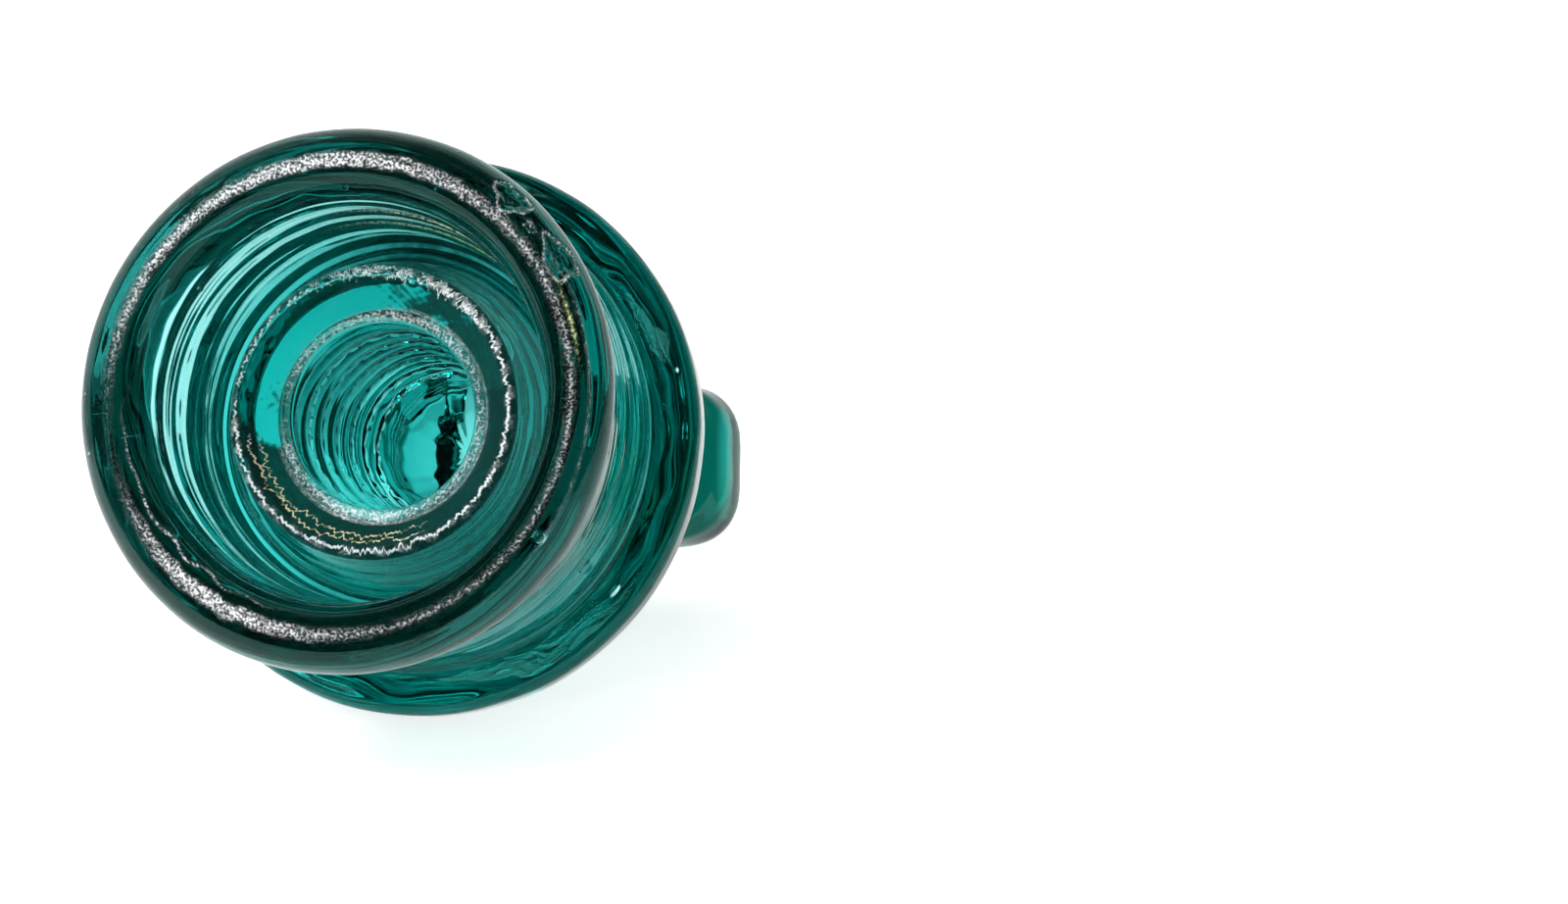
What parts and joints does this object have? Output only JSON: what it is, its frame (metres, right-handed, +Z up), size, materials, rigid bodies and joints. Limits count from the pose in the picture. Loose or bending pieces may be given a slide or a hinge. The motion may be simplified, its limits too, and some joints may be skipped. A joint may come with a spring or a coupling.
{
  "type": "glass insulator",
  "caption": "Teal pressed-glass pin insulator with a thick base lip, a recessed threaded pinhole, a disc-shaped upper skirt, a wire groove and a saddle-grooved crown with opposed ears.",
  "frame": {"origin": "centre of the circle on which the base lip's crest stands, on the pinhole's axis", "axes": "+Z up the pinhole's axis from base lip to crown, X through the two ears, Y along the saddle groove"},
  "size_m": [0.0952, 0.0952, 0.108],
  "materials": {
    "glass": "teal pressed glass, fire-polished and glossy, with frosted crests on the lip and round the pinhole, bubbles and fine cracks"
  },
  "bodies": {
    "root": {"base_lip": "glass", "lower_skirt": "glass", "petticoat": "glass", "pin_sleeve": "glass", "upper_skirt": "glass", "wire_groove": "glass", "saddle_crown": "glass", "ear_left": "glass", "ear_right": "glass"}
  },
  "joints": []
}
